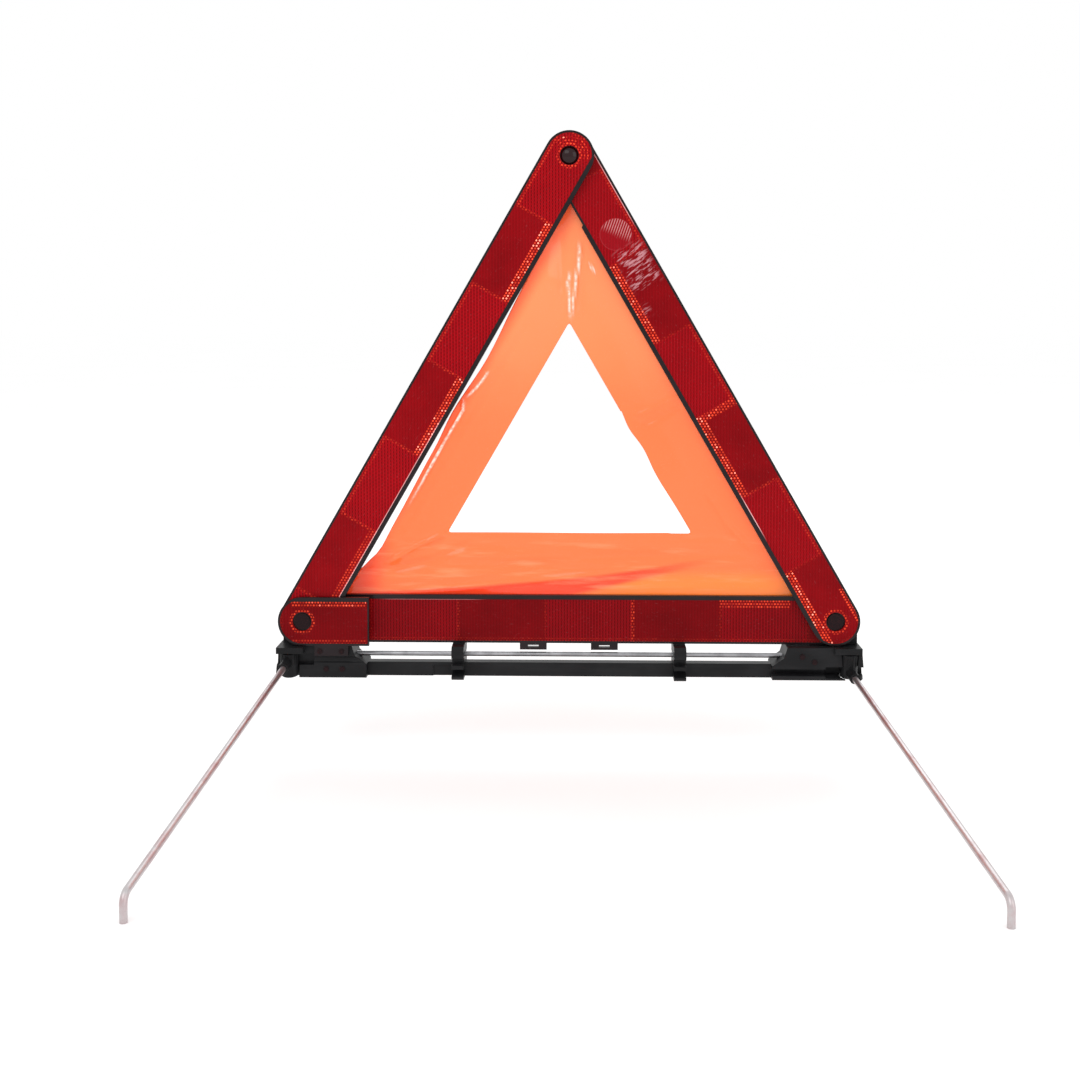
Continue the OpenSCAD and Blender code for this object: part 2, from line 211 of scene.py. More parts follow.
class Finish:
    """A procedural material around one shader, with places in millimetres."""

    def __init__(self, name, **fixed):
        self.material = bpy.data.materials.new(name)
        self.material.use_nodes = True
        self.nodes = self.material.node_tree.nodes
        self.links = self.material.node_tree.links
        self.nodes.clear()
        self.shader = self.nodes.new("ShaderNodeBsdfPrincipled")
        for socket, value in fixed.items():
            self.shader.inputs[socket.replace("_", " ")].default_value = value
        out = self.nodes.new("ShaderNodeOutputMaterial")
        self.links.new(self.shader.outputs[0], out.inputs["Surface"])

    def feed(self, socket, value):
        if isinstance(value, Wire):
            self.links.new(value.socket, socket)
        elif socket.type == "RGBA":
            socket.default_value = tuple(value)[:3] + (1.0,)
        else:
            socket.default_value = value

    def add(self, kind, settings=None, sockets=None, out=0):
        """Adds a node: its settings first, then its sockets' values or links."""
        node = self.nodes.new(kind)
        for key, value in (settings or {}).items():
            setattr(node, key, value)
        for key, value in (sockets or {}).items():
            self.feed(node.inputs[key], value)
        return Wire(self, node.outputs[out])

    def set(self, socket, value):
        self.feed(self.shader.inputs[socket], value)

    def places(self, turn=0.0, start=(0.0, 0.0)):
        """Object places in millimetres, turned about Y, from a start point (x, z) in metres."""
        x0, z0 = start[0] / MM, start[1] / MM
        c, s = math.cos(turn), math.sin(turn)
        spot = self.add("ShaderNodeTexCoord", out="Object")
        return self.add(
            "ShaderNodeMapping", {"vector_type": "POINT"},
            {"Vector": spot, "Scale": (1 / MM,) * 3, "Rotation": (0, turn, 0),
             "Location": (-(c * x0 + s * z0), 0, -(c * z0 - s * x0))})

    def split(self, vector):
        node = self.nodes.new("ShaderNodeSeparateXYZ")
        self.feed(node.inputs[0], vector)
        return [Wire(self, node.outputs[i]) for i in range(3)]

    def noise(self, vector, scale, detail=3.0, rough=0.5, stretch=None):
        if stretch:
            vector = self.add("ShaderNodeMapping", {"vector_type": "POINT"}, {"Vector": vector, "Scale": stretch})
        return self.add("ShaderNodeTexNoise", {"noise_dimensions": "3D"},
                        {"Vector": vector, "Scale": scale, "Detail": detail, "Roughness": rough})

    def blend(self, amount, first, second, kind="MIX"):
        return self.add("ShaderNodeMix", {"data_type": "RGBA", "blend_type": kind},
                        {0: amount, 6: first, 7: second}, out=2)

    def bump(self, height, strength, depth_mm, normal=None):
        sockets = {"Height": height, "Strength": strength, "Distance": depth_mm * MM}
        if normal is not None:
            sockets["Normal"] = normal
        return self.add("ShaderNodeBump", None, sockets)

    def round_edges(self, radius):
        return self.add("ShaderNodeBevel", {"samples": 4}, {"Radius": radius})


# ---- the red lenses ----

# Rows of painted prism glints as (start, end, low, high, strength): along the arm from its front lap, and across it
# from the outer rim (-16.4) to the inner rim (14.8)
INNER, OUTER = (9.4, 14.9), (-16.5, -13.0)
PANEL_START = 49.5
# Per arm: shade and depth give painted shade, faint_line and gleams painted glints and highlights
ARM_PRISMS = {
    0: dict(
        rows=[(-8, 47.5, 10.6, 14.9, 0.75), (-8, 47.5, *OUTER, 0.3), (309, 361, *INNER, 0.6),
              (49.5, 394, -16.5, -14.2, 0.16), (243.2, 245.8, -16.5, 14.9, 0.5), (113.6, 115.4, -16.5, 14.9, 0.2)],
        ribbed=0, depth=0.8, shade=0.60, faint_line=0.10, gleams=[(60, 130, 14.35, 14.8, 0.25)]),
    1: dict(
        rows=[(-15, 49.5, *INNER, 1.0), (114.5, 179.5, *INNER, 0.95), (244.5, 309.5, *INNER, 0.9),
              (-16, 20, -16.5, -13.4, 0.75), (49.5, 114.5, *OUTER, 0.28), (179.5, 244.5, *OUTER, 0.28),
              (309.5, 374.5, *OUTER, 0.28), (176.6, 182.2, -16.5, 14.9, 0.85), (113.4, 115.6, -16.5, 14.9, 0.3)],
        ribbed=0, depth=0.45, shade=0.80, faint_line=0.12,
        gleams=[(84, 114, 14.25, 14.8, 0.8), (330, 390, -16.4, -15.9, 0.6)]),
    2: dict(
        rows=[(49.5, 114.5, *INNER, 1.0), (179.5, 244.5, *INNER, 0.9), (309.5, 374.5, *INNER, 0.55),
              (-16, 49.5, *OUTER, 0.35), (114.5, 179.5, *OUTER, 0.28), (244.5, 309.5, *OUTER, 0.28)],
        ribbed=1, depth=0.75, shade=0.92, faint_line=0.35, gleams=[(215, 380, 14.3, 14.8, 0.7)]),
}


def arm_start(arm):
    """The pivot (x, z) where an arm laps in front: 0 is the bottom, 1 the right and 2 the left arm."""
    pivot = (LEFT_PIVOT, RIGHT_PIVOT, APEX_PIVOT)[arm]
    return pivot.x, pivot.z


def lens_finish(settings, arm):
    """Red prism lens: panels, upright ribs, painted glints in rows of prisms and rings round the hole, painted
    shade.
    """
    facts = ARM_PRISMS[arm]
    pitch, panel_mm = settings.prism_pitch / MM, settings.panel_length / MM
    f = Finish(f"red_lens_{('bottom', 'right', 'left')[arm]}", Coat_Roughness=0.06, IOR=1.5,
               Specular_IOR_Level=0.02, Emission_Strength=0.7)
    spot = f.places(math.radians(120 * arm), arm_start(arm))
    u, _, v = f.split(spot)
    level = f.places()
    x, _, z = f.split(level)

    # Prisms in staggered rows, each with its own brightness
    row = (v / pitch).whole()
    along = u / pitch + (row / 2).rest()
    a, b = along.rest() - 0.5, (v / pitch).rest() - 0.5
    dot = (a * a + b * b).rise(0.17, 0.04)
    cell = f.add("ShaderNodeCombineXYZ", None, {"X": along.whole(), "Y": row})
    luck = f.add("ShaderNodeTexWhiteNoise", {"noise_dimensions": "2D"}, {"Vector": cell})

    # Upright ribs crossed by a finer step
    rib = ((x / pitch).rest() - 0.5).size() * 2
    step = ((z / 2.6 + ((x / pitch).whole() / 2).rest()).rest() - 0.5).size() * 2
    panel = ((u - PANEL_START) / panel_mm).whole()
    ribbed = ((panel / 2).rest() * 2 - facts["ribbed"]).size().rise(0.6, 0.4)
    edge = (((u - PANEL_START) / panel_mm + 0.5).rest() - 0.5).size() * panel_mm
    line = edge.rise(1.3, 0.9)

    # Painted glints: rows of prisms, faint lines along the panel edges and rings round the hole
    spark = line * facts["faint_line"]
    for start, end, low, high, strength in facts["rows"]:
        spark = spark.larger(u.within(start, end) * v.within(low, high) * strength)
    reach = (u * u + v * v) ** 0.5
    rings = reach.within(7.2, 9.4) * 0.55
    if arm == 2:
        # Painted highlight: only the upper right side of the rings glints
        upper = ((z - APEX_PIVOT.z / MM) + (x - APEX_PIVOT.x / MM) * 0.6).rise(-6, 9)
        for radius in (8.6, 11.0, 13.4):
            rings = rings.larger(reach.within(radius - 0.45, radius + 0.45, 0.2) * upper * 0.9)
    spark = spark.larger(rings)
    glitter = spark * dot * (luck * 0.75 + 0.3)

    cloud = f.noise(level, 0.045, 2.0)
    fine = f.noise(level, 0.9, 2.0)
    # Painted shade: the same reds are darker on some arms, by each arm's shade
    deep_red, red = ([c * facts["shade"] for c in tone] for tone in (settings.deep_red, settings.red))
    colour = f.blend(ribbed * 0.32 + (cloud - 0.5) * 0.9 + 0.28, deep_red, red)
    # Painted highlight on the rib crests, and painted shade in the grooves between them
    rib_highlight = (rib.rise(0.35, 0.9) * step.rise(0.1, 0.8)) * (ribbed * 0.42 + 0.16)
    colour = f.blend(rib_highlight, colour, (0.55 * facts["shade"], 0.006, 0.014))
    groove_shade = rib.rise(0.62, 0.15) * step.rise(0.05, 0.75) * (ribbed * 0.55 + 0.25) * facts["depth"]
    colour = f.blend(groove_shade, colour, (0.05, 0.0008, 0.002))
    colour = f.blend(glitter, colour, settings.spark)
    # Painted white glints on the brightest prisms
    white_glint = (glitter * luck).rise(0.62, 0.95) * 0.55
    colour = f.blend(white_glint, colour, (1.0, 0.55, 0.42))

    # Painted highlights along the inner and outer rims
    gleam = None
    for start, end, low, high, strength in facts["gleams"]:
        part = u.within(start, end, 8) * v.within(low, high, 0.15) * strength
        gleam = part if gleam is None else gleam.larger(part)
    scuff = f.noise(spot, 0.9, 3.0, 0.7, (0.35, 1.0, 1.3)).rise(0.60, 0.72) * fine.rise(0.35, 0.6)
    if arm == 1:
        # A blank round pad, and the scratches beside it
        from_pad = ((u - 328) * (u - 328) + (v + 1) * (v + 1)) ** 0.5
        pad = from_pad.rise(11.6, 11.2)
        hatch = ((x - z * 0.35) / 1.9).rest().within(0.25, 0.6, 0.12)
        colour = f.blend(pad * 0.6, colour, (0.29, 0.006, 0.012))
        upper = (x * 0.45 + z).rise(399, 406)
        colour = f.blend(pad * hatch * upper * (fine * 0.8 + 0.2), colour, (0.75, 0.36, 0.36))
        colour = f.blend(from_pad.within(11.3, 11.7, 0.2) * 0.22, colour, (0.60, 0.10, 0.12))
        slant = f.add("ShaderNodeMapping", {"vector_type": "POINT"},
                      {"Vector": level, "Rotation": (0, math.radians(38), 0)})
        streak = f.noise(slant, 0.42, 4.0, 0.65, (0.25, 1.0, 1.5)).rise(0.49, 0.60)
        worn = u.within(285, 315, 4) * v.within(-14, 8, 3) * streak
        worn = worn.larger(u.within(265, 273, 3) * v.within(4, 10, 2) * streak * 0.5)
        scuff = (scuff * 0.15).larger(worn)
    else:
        scuff = scuff * 0.12
    colour = f.blend(scuff * 0.75, colour, (0.62, 0.30, 0.33))
    colour = f.blend(gleam, colour, (1.0, 0.55, 0.55))

    f.set("Base Color", colour)
    # Painted glow: the glints and rim highlights are given as emission
    glint_glow = f.blend(glitter * 0.8 + gleam * 0.4 + white_glint * 0.3, (0, 0, 0), colour)
    f.set("Emission Color", glint_glow)
    f.set("Roughness", 0.24 + fine * 0.1 + scuff * 0.3)
    f.set("Coat Weight", 0.06 - scuff * 0.05)
    height = dot * (spark * 0.8 + 0.15) + rib * (ribbed * 0.5 + 0.1) + step * 0.15 - line * 0.3
    f.set("Normal", f.bump(height, 0.35, 0.12))
    return f.material


# ---- black plastics ----

def moulded_finish(name, colour, edge, gloss, grain):
    """Black moulded plastic: fine grain, faint flow marks, light dust patches, rounded edges."""
    f = Finish(name, IOR=1.46, Specular_IOR_Level=0.13, Coat_Roughness=0.12)
    spot = f.places()
    flow = f.noise(spot, 0.03, 3.0, 0.55, (1.0, 2.0, 3.0))
    speck = f.noise(spot, 2.6, 2.0, 0.6)
    smear = f.noise(spot, 0.16, 4.0, 0.6)
    tone = f.blend(flow.rise(0.35, 0.7), colour, [c * 1.7 for c in colour])
    rub = smear.rise(0.62, 0.8) * 0.22
    f.set("Base Color", f.blend(rub, tone, (0.035, 0.033, 0.034)))
    f.set("Roughness", (flow - 0.5) * 0.22 + gloss + rub * 0.4 + speck * 0.04)
    f.set("Coat Weight", (1 - rub * 3) * (0.2 if gloss < 0.35 else 0.04))
    f.set("Normal", f.bump(speck, grain, 0.05, f.round_edges(edge)))
    return f.material


def rivet_finish(colour, edge):
    """Black rivet plastic with brownish wear and a fine grain."""
    f = Finish("rivet_plastic", IOR=1.46, Specular_IOR_Level=0.12)
    spot = f.places()
    speck = f.noise(spot, 1.8, 3.0)
    f.set("Base Color", f.blend(speck.rise(0.4, 0.75), colour, (0.030, 0.008, 0.009)))
    f.set("Roughness", 0.32 + speck * 0.16)
    f.set("Normal", f.bump(speck, 0.25, 0.05, f.round_edges(edge)))
    return f.material


def polished_finish():
    """Polished black button: deep gloss, hairline scratches and a little dust."""
    f = Finish("polished_black", Coat_Roughness=0.03, IOR=1.5, Specular_IOR_Level=0.12)
    spot = f.places()
    hair = f.noise(spot, 0.7, 4.0, 0.7, (0.3, 1.0, 3.0)).rise(0.6, 0.72)
    dust = f.noise(spot, 3.0, 2.0).rise(0.66, 0.74)
    f.set("Base Color", f.blend(dust * 0.4, (0.016, 0.003, 0.004), (0.05, 0.035, 0.035)))
    f.set("Roughness", 0.07 + hair * 0.12 + dust * 0.2)
    f.set("Coat Weight", 0.3 - dust * 0.2)
    f.set("Normal", f.bump(hair, 0.08, 0.02))
    return f.material


# ---- metals ----

def wire_finish(colour):
    """Drawn steel wire: draw lines, dull patches with a painted pink reflection of the red case, and warm tarnish.
    """
    f = Finish("drawn_wire")
    spot = f.places()
    drawn = f.noise(spot, 1.2, 3.0, 0.6, (1.0, 0.06, 1.0))
    dull_patch_and_reflection = f.noise(spot, 0.06, 4.0, 0.6)
    fleck = f.noise(spot, 1.4, 2.0).rise(0.66, 0.74)
    # Dull patches, partly real and partly a painted pink reflection of the red case
    tone = f.blend(dull_patch_and_reflection.rise(0.4, 0.75), colour, (0.50, 0.36, 0.37))
    tone = f.blend(fleck * 0.4, tone, (0.20, 0.13, 0.11))
    f.set("Base Color", tone)
    f.set("Metallic", 0.96 - fleck * 0.4)
    f.set("Roughness", 0.24 + dull_patch_and_reflection * 0.2 + drawn * 0.12 + fleck * 0.15)
    f.set("Normal", f.bump(drawn, 0.3, 0.05))
    return f.material


def plated_finish(colour):
    """Zinc-plated steel: brushed along the part with soft milky patches."""
    f = Finish("zinc_plated_steel")
    spot = f.places()
    brushed = f.noise(spot, 1.6, 3.0, 0.6, (0.05, 1.0, 1.0))
    milky = f.noise(spot, 0.11, 3.0)
    f.set("Base Color", f.blend(milky.rise(0.35, 0.7), colour, [c * 0.72 for c in colour]))
    f.set("Metallic", 0.97 - milky * 0.08)
    f.set("Roughness", 0.18 + milky * 0.16 + brushed * 0.14)
    f.set("Normal", f.bump(brushed, 0.22, 0.04))
    return f.material


def wear(material, *nodes):
    """Gives a finish to CAD nodes."""
    for node in nodes:
        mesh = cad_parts[node].data
        mesh.materials.clear()
        mesh.materials.append(material)


# ---- the film ----

# Quads round the film and across it, then sizes in millimetres
FILM_STEPS, FILM_RINGS = 540, 44
HOLE_UP = 2.7
FILM_CORNER, HOLE_CORNER = 12.0, 1.2
HOLE_IN = 52.2
# How far forward the right and the left arm's backs lie from the bottom arm's
TO_RIGHT_ARM, TO_LEFT_ARM = 4.6, 9.0
# Creases narrower than this carry a painted highlight, in millimetres
SHARP_CREASE = 2.3
# How far the free left edge is drawn in, from its top end (0) to its bottom end (1), in millimetres
FREE_EDGE = [(0, 0), (0.19, 9), (0.38, 12.4), (0.52, 9.8), (0.62, 11.9), (0.8, 13.4), (0.88, 14), (0.95, 9), (1, 0)]

# Creases as (points, width, height) in millimetres; a height below 0 stands towards the back
CREASES = [
    ([(7, 384), (8, 372), (5, 356), (3, 338), (1, 322)], 1.9, 1.6),
    ([(1, 362), (-1, 352), (0, 338), (0, 324)], 1.5, 1.2),
    ([(14, 366), (17, 362), (20, 359)], 1.6, 0.8),
    ([(-4, 392), (-6, 368), (-5, 340)], 3.4, -0.7),
    ([(12, 390), (11, 366), (9, 340), (9, 322)], 3.0, -0.7),
    ([(-140, 141), (-114, 156), (-90, 166)], 2.6, 1.9),
    ([(-140, 136), (-104, 145), (-70, 160)], 4.5, -1.3),
    ([(46, 252), (62, 259), (80, 269)], 2.6, 0.7),
    ([(52, 246), (70, 254), (84, 262)], 3.5, -0.8),
    ([(-150, 119), (-90, 123), (-38, 129), (40, 138), (110, 142)], 3.4, 1.1),
    ([(-60, 140), (20, 147), (110, 150)], 5.0, -0.7),
    ([(-20, 126), (60, 132), (140, 130)], 3.2, 0.6),
    ([(-58, 288), (-66, 277), (-76, 267)], 2.1, 1.2),
    ([(-77, 268), (-78, 258), (-91, 236), (-104, 213), (-121, 182)], 1.7, 1.7),
    ([(100, 200), (118, 172), (140, 150)], 3.0, 0.7),
]


def rounded_triangle(inner, corner, up):
    """Points (x, z) of a triangle with round corners, counter-clockwise from the lower right."""
    reach = 2 * (inner - corner)
    points = []
    for middle in (330, 90, 210):
        for turn in range(-60, 61, 6):
            a, b = math.radians(middle), math.radians(middle + turn)
            points.append((reach * math.cos(a) + corner * math.cos(b),
                           reach * math.sin(a) + corner * math.sin(b) + up))
    return points


def film_outline(inner):
    """The film's outer edge: the triangle's left side is bowed inwards."""
    points = rounded_triangle(inner, FILM_CORNER, -HOLE_UP)
    count = len(points) // 3
    (ax, az), (bx, bz) = points[2 * count - 1], points[2 * count]
    side = []
    for i in range(1, 40):
        t = i / 40
        (t0, bow0), (t1, bow1) = next(pair for pair in zip(FREE_EDGE, FREE_EDGE[1:]) if t <= pair[1][0])
        bow = bow0 + (bow1 - bow0) * smooth(t, t0, t1)
        side.append((ax + (bx - ax) * t + bow * math.cos(math.radians(330)),
                     az + (bz - az) * t + bow * math.sin(math.radians(330))))
    return points[:2 * count] + side + points[2 * count:]


def reach_along(outline, turn):
    """How far a line from the hole's middle runs in one direction before it meets the outline."""
    dx, dz = math.cos(turn), math.sin(turn)
    found = 0.0
    for (ax, az), (bx, bz) in zip(outline, outline[1:] + outline[:1]):
        ex, ez = bx - ax, bz - az
        across = dx * ez - dz * ex
        if abs(across) < 1e-12:
            continue
        far, share = (ax * ez - az * ex) / across, (ax * dz - az * dx) / across
        if far > 0 and -1e-9 <= share <= 1 + 1e-9:
            found = max(found, far)
    return found


def smooth(value, low, high):
    t = min(1.0, max(0.0, (value - low) / (high - low)))
    return t * t * (3 - 2 * t)


def from_path(x, z, path):
    """Distance from a broken line, and how far along it the nearest point lies, from 0 to 1."""
    best, share, count = 1e9, 0.0, len(path) - 1
    for i in range(count):
        (ax, az), (bx, bz) = path[i], path[i + 1]
        length = (bx - ax) ** 2 + (bz - az) ** 2
        t = min(1.0, max(0.0, ((x - ax) * (bx - ax) + (z - az) * (bz - az)) / length))
        d = math.hypot(x - ax - t * (bx - ax), z - az - t * (bz - az))
        if d < best:
            best, share = d, (i + t) / count
    return best, share


def film_depth(x, z, crease):
    """How far the film stands from its flat place at (x, z), in millimetres, backwards above 0."""
    from_right = (RIGHT_PIVOT.x / MM - x) * SIN_60 - (z - RIGHT_PIVOT.z / MM) * 0.5
    from_left = (x - LEFT_PIVOT.x / MM) * SIN_60 - (z - LEFT_PIVOT.z / MM) * 0.5
    above = smooth(z, 126, 175)
    depth = -TO_RIGHT_ARM * smooth(from_right, 42, 14) * above
    depth -= TO_LEFT_ARM * smooth(from_left, 62, 22) * above * smooth(from_right, 22, 62)
    for path, width, height in CREASES:
        d, share = from_path(x, z, path)
        ends = smooth(share, 0, 0.18) * smooth(1 - share, 0, 0.18)
        depth -= crease * height * ends * math.exp(1 - math.sqrt(1 + (2.2 * d / width) ** 2))
    # Slack: slow waves, and finer ones along the bottom band
    slack = smooth(z, 112, 135)
    waves = 0.55 * math.sin(x * 0.045 + z * 0.021) + 0.35 * math.sin(z * 0.06 - x * 0.03 + 1.0)
    band = (1 - smooth(z, 140, 172)) * 0.28 * math.sin(z * 0.42 + 1.6 * math.sin(x * 0.021))
    depth += crease * slack * (waves + band)
    # The free left edge curls forwards
    depth -= crease * 1.6 * smooth(from_left, 36, 26) * smooth(z, 150, 190) * smooth(340 - z, 0, 40)
    return depth


def crease_highlight(x, z):
    """How strong the painted highlight along a sharp crease is at (x, z), from 0 to 1."""
    pale = 0.0
    for path, width, height in CREASES:
        if width > SHARP_CREASE:
            continue
        d, share = from_path(x, z, path)
        ends = smooth(share, 0, 0.25) * smooth(1 - share, 0, 0.25)
        pale = max(pale, ends * min(1.0, abs(height)) * smooth(1.15 - d, 0, 0.9))
    return pale


def film_sheet(settings):
    """The film as one creased ring of quads between its hole and its outer edge, then given its gauge."""
    low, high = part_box("film")
    inner = ((high[2] - low[2]) / MM + FILM_CORNER) / 3
    middle_z = low[2] / MM + inner + HOLE_UP
    flat_y = (low[1] + high[1]) / 2 / MM
    outline = film_outline(inner)
    hole = rounded_triangle(HOLE_IN, HOLE_CORNER, 0.0)
    mesh = bpy.data.meshes.new("film_sheet")
    build = bmesh.new()
    flat = build.loops.layers.uv.new("flat")
    # Painted highlight along the sharp creases, kept on each vertex for the finish
    pale = build.verts.layers.float.new("crease")
    rings = []
    for i in range(FILM_STEPS):
        turn = 2 * math.pi * i / FILM_STEPS
        near, far = reach_along(hole, turn), reach_along(outline, turn)
        if 325 < math.degrees(turn) or math.degrees(turn) < 45:
            near += 0.9 * math.sin(turn * 9)
        ring = []
        for k in range(FILM_RINGS + 1):
            reach = near + (far - near) * k / FILM_RINGS
            x, z = reach * math.cos(turn), middle_z + reach * math.sin(turn)
            y = flat_y + film_depth(x, z, settings.crease)
            vert = build.verts.new((x * MM, y * MM, z * MM))
            vert[pale] = crease_highlight(x, z)
            ring.append(vert)
        rings.append(ring)
    for i in range(FILM_STEPS):
        this, following = rings[i], rings[(i + 1) % FILM_STEPS]
        for k in range(FILM_RINGS):
            face = build.faces.new((this[k], this[k + 1], following[k + 1], following[k]))
            face.smooth = True
            for loop in face.loops:
                loop[flat].uv = (loop.vert.co.x, loop.vert.co.z)
    bmesh.ops.recalc_face_normals(build, faces=build.faces)
    build.normal_update()
    if sum(face.normal.y for face in build.faces) > 0:
        bmesh.ops.reverse_faces(build, faces=build.faces)
    build.to_mesh(mesh)
    build.free()
    film = bpy.data.objects.new("film_sheet", mesh)
    bpy.context.scene.collection.objects.link(film)
    use_only(film)
    wall = film.modifiers.new("gauge", "SOLIDIFY")
    wall.thickness, wall.offset = settings.gauge, 0.0
    bpy.ops.object.modifier_apply(modifier=wall.name)
    return film


def film_finish(settings):
    """Fluorescent film: zones of tone with a painted lighter top and painted redder shade, painted crease
    highlights, dust, a painted glow and a hard gloss.
    """
    f = Finish("orange_film", Coat_Roughness=0.08, IOR=1.5, Specular_IOR_Level=0.25, Emission_Strength=0.16)
    spot = f.places()
    x, _, z = f.split(spot)
    cloud = f.noise(spot, 0.012, 2.0, 0.5, (1.0, 1.0, 1.6)) - 0.5
    drift = f.noise(spot, 0.03, 3.0, 0.5, (0.5, 1.0, 2.2)) - 0.5
    # Painted light: lighter towards the top
    colour = f.blend((z + cloud * 60).rise(235, 340), settings.orange, settings.salmon)
    # Painted shade: redder along the left side and under a line that rises to the right
    from_left = (x - LEFT_PIVOT.x / MM) * SIN_60 - (z - LEFT_PIVOT.z / MM) * 0.5
    colour = f.blend(from_left.rise(30, 19) * z.rise(150, 190) * 0.6, colour, settings.scarlet)
    rising = z - 131 - x * 0.09 - (x + 40) * (x + 40) * 0.0003 + drift * 3
    under = z - 118 - x * 0.24
    shaded_band = rising.rise(2.0, -1.2) * under.rise(-2.0, 3.0).larger(x.rise(8, -8)) * x.rise(120, 40)
    colour = f.blend(shaded_band * 0.95, colour, settings.scarlet)
    # Painted shade: redder in the lower left corner
    corner = (x - z * 0.25 + drift * 10).rise(-166, -186) * z.rise(170, 150)
    colour = f.blend(corner * 0.85, colour, settings.scarlet)
    amber = z.rise(142, 126) * x.rise(-5, 45) * under.rise(3.0, -2.0).larger(x.rise(60, 90))
    colour = f.blend(amber * 0.75, colour, (1.0, 0.235, 0.030))
    streak = f.noise(spot, 0.16, 3.0, 0.55, (0.12, 1.0, 1.0)).rise(0.5, 0.75) * z.rise(172, 150)
    colour = f.blend(streak * 0.32, colour, (1.0, 0.40, 0.20))
    mottle = f.noise(spot, 0.25, 3.0, 0.6)
    colour = f.blend(mottle.rise(0.55, 0.8) * 0.10, colour, settings.salmon)
    dust = f.noise(spot, 2.2, 2.0).rise(0.69, 0.75)
    colour = f.blend(dust * 0.18, colour, (1.0, 0.75, 0.65))
    # Painted highlights along the sharp creases, broken up by noise
    crease = f.add("ShaderNodeAttribute", {"attribute_name": "crease"}, out=2)
    broken = f.noise(spot, 0.35, 3.0, 0.6).rise(0.38, 0.6)
    colour = f.blend(crease * (broken * 0.6 + 0.35), colour, (1.0, 0.80, 0.70))
    f.set("Base Color", colour)
    # Painted glow: the film's colour is given as emission, standing in for its fluorescence
    f.set("Emission Color", colour)
    f.set("Roughness", 0.16 + mottle * 0.10 + dust * 0.3)
    f.set("Coat Weight", 0.5 - dust * 0.3)
    f.set("Normal", f.bump(f.noise(spot, 0.12, 3.0, 0.5), 0.25, 0.25))
    return f.material


# ---- helpers for objects ----

def use_only(obj):
    """Leaves everything else unselected and makes obj the active one."""
    bpy.ops.object.select_all(action="DESELECT")
    obj.select_set(True)
    bpy.context.view_layer.objects.active = obj


def each_leg(piece):
    """The four nodes of one piece of the legs."""
    return [f"{end}_{side}_{piece}" for end in ("front", "rear") for side in ("left", "right")]


# ---- operators ----

class TRIANGLE_OT_lenses(Operator):
    """Finish the four red prism lenses"""
    bl_idname = "triangle.lenses"
    bl_label = "Red lenses"

    def execute(self, context):
        settings = context.scene.triangle_lenses
        wear(lens_finish(settings, 0), "bottom_lens", "left_corner_lens")
        wear(lens_finish(settings, 1), "right_lens")
        wear(lens_finish(settings, 2), "left_lens")
        return {"FINISHED"}


class TRIANGLE_OT_carriers(Operator):
    """Finish the three arm carriers and the left corner's cover"""
    bl_idname = "triangle.carriers"
    bl_label = "Arm carriers"

    def execute(self, context):
        settings = context.scene.triangle_plastics
        wear(moulded_finish("arm_black", tuple(settings.arm_black), settings.edge_round, 0.27, 0.12),
             "bottom_arm", "left_arm", "right_arm", "left_corner_cover")
        return {"FINISHED"}


class TRIANGLE_OT_base(Operator):
    """Finish the base moulding and the legs' knuckles"""
    bl_idname = "triangle.base"
    bl_label = "Base and knuckles"

    def execute(self, context):
        settings = context.scene.triangle_plastics
        wear(moulded_finish("base_black", tuple(settings.black), settings.edge_round, 0.40, 0.3),
             "base_frame", *each_leg("knuckle"))
        return {"FINISHED"}


class TRIANGLE_OT_rivets(Operator):
    """Finish the plastic rivets, pins, blackened screws and the apex stud"""
    bl_idname = "triangle.rivets"
    bl_label = "Plastic rivets"

    def execute(self, context):
        settings = context.scene.triangle_plastics
        wear(rivet_finish(tuple(settings.arm_black), settings.edge_round),
             "film_rivets_bottom", "film_rivets_left", "film_rivets_right",
             "left_pivot_rivet", "right_pivot_pin", "apex_stud", "housing_screws", "cover_screws")
        return {"FINISHED"}


class TRIANGLE_OT_button(Operator):
    """Finish the polished button at the apex"""
    bl_idname = "triangle.button"
    bl_label = "Apex button"

    def execute(self, context):
        wear(polished_finish(), "apex_button")
        return {"FINISHED"}


class TRIANGLE_OT_legs(Operator):
    """Finish the four wire legs"""
    bl_idname = "triangle.legs"
    bl_label = "Wire legs"

    def execute(self, context):
        wear(wire_finish(tuple(context.scene.triangle_metals.wire)),
             *each_leg("leg"))
        return {"FINISHED"}


class TRIANGLE_OT_fittings(Operator):
    """Finish the steel rod, hinge pins, washer and rivet"""
    bl_idname = "triangle.fittings"
    bl_label = "Steel fittings"

    def execute(self, context):
        wear(plated_finish(tuple(context.scene.triangle_metals.bright)),
             "stiffener_rod", "right_pivot_washer", "bottom_arm_rivet", *each_leg("pin"))
        return {"FINISHED"}


class TRIANGLE_OT_film(Operator):
    """Make the creased film that hangs behind the three arms"""
    bl_idname = "triangle.film"
    bl_label = "Film"

    def execute(self, context):
        settings = context.scene.triangle_film
        film = film_sheet(settings)
        film.data.materials.append(film_finish(settings))
        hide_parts("film")
        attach(film, "base")
        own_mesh(film)
        return {"FINISHED"}


# The camera's turn about X, Y and Z in degrees, and how far its frame is shifted
CAMERA_TURN = (86.34, 0, 1.41)
CAMERA_SHIFT = (-0.0017, -0.12)


def floor_finish(colour):
    """Plain pale paper that glows a little, so that it stays pale far away."""
    f = Finish("floor_paper", Specular_IOR_Level=0.0, Emission_Strength=0.14)
    tone = f.noise(f.places(), 0.002, 2.0)
    f.set("Base Color", f.blend(tone.rise(0.4, 0.7) * 0.3, colour, [c * 0.98 for c in colour]))
    f.set("Emission Color", (1, 1, 1))
    f.set("Roughness", 0.8 + tone * 0.1)
    return f.material


